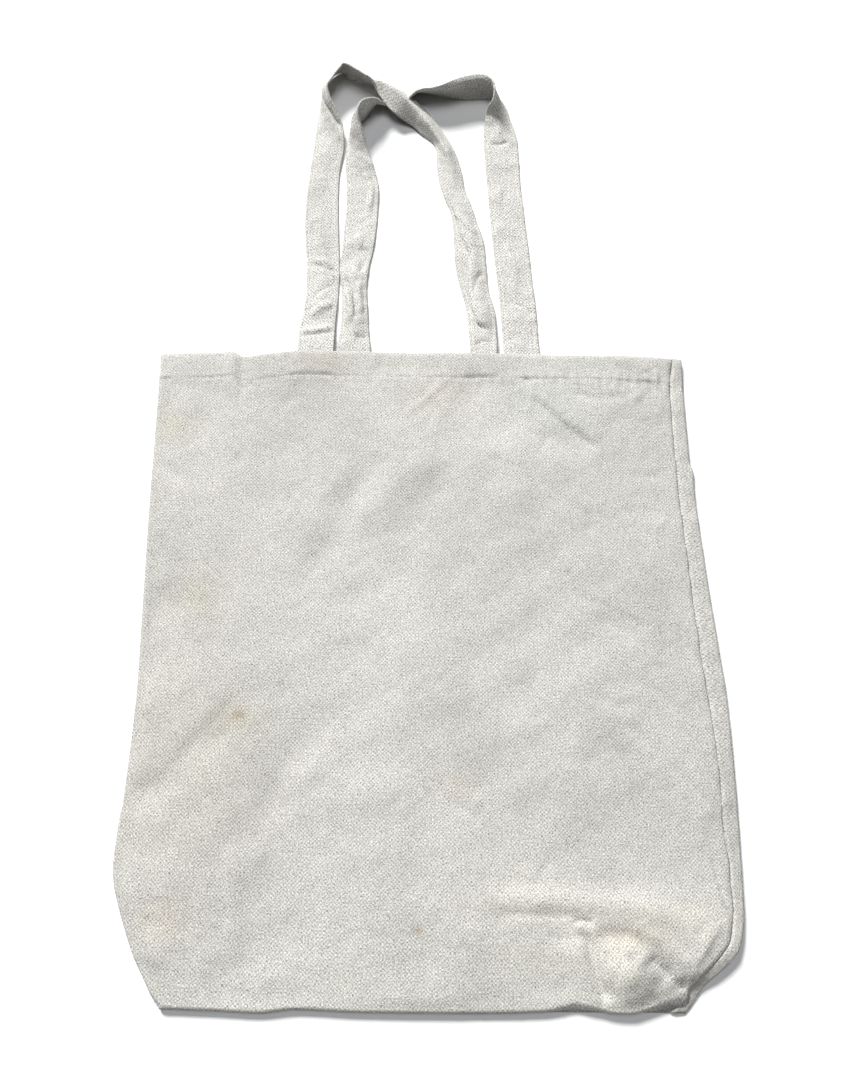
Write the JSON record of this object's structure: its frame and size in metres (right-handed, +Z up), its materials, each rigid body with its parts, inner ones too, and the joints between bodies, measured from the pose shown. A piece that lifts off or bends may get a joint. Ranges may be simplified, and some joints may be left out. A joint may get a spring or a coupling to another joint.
{
  "type": "canvas tote bag",
  "caption": "Unbleached canvas tote bag lying flat, with boxed bottom corners, a stitched hem at the open mouth and strap handles crossed beyond it.",
  "frame": {"origin": "under the middle of the whole flat lay, handles included, on the surface it lies on", "axes": "+X across the bag to the right seen from the front, +Y from the bottom seam towards the mouth and handles, +Z up from the back panel to the front panel"},
  "size_m": [0.38, 0.6998, 0.0264],
  "materials": {
    "canvas": "unbleached plain-weave cotton canvas, matt, softly creased",
    "strap_canvas": "the same cotton canvas folded into a flat strap",
    "thread": "off-white cotton sewing thread, matt"
  },
  "bodies": {
    "bag": {"front_panel": "canvas", "back_panel": "canvas", "front_hem": "canvas", "back_hem": "canvas", "left_seam_allowance": "canvas", "right_seam_allowance": "canvas", "bottom_seam_allowance": "canvas", "left_corner_gusset": "canvas", "right_corner_gusset": "canvas", "front_hem_thread": "thread", "back_hem_thread": "thread", "left_seam_thread": "thread", "right_seam_thread": "thread", "bottom_seam_thread": "thread", "left_corner_thread": "thread", "right_corner_thread": "thread", "front_handle_left_end": "strap_canvas", "front_handle_right_end": "strap_canvas", "back_handle_left_end": "strap_canvas", "back_handle_right_end": "strap_canvas", "front_handle_tack_threads": "thread", "back_handle_tack_threads": "thread"},
    "front_handle": {"front_handle": "strap_canvas", "front_handle_topstitch": "thread"},
    "back_handle": {"back_handle": "strap_canvas", "back_handle_topstitch": "thread"}
  },
  "joints": [
    {"name": "front_handle_swing", "type": "hinge", "parent": "bag", "child": "front_handle", "pos_m": [-0.0195, 0.0811, 0.00925], "axis": [1, 0, 0], "range_deg": [0, 165]},
    {"name": "back_handle_swing", "type": "hinge", "parent": "bag", "child": "back_handle", "pos_m": [0.007, 0.0811, 0], "axis": [1, 0, 0], "range_deg": [-165, 0]}
  ]
}
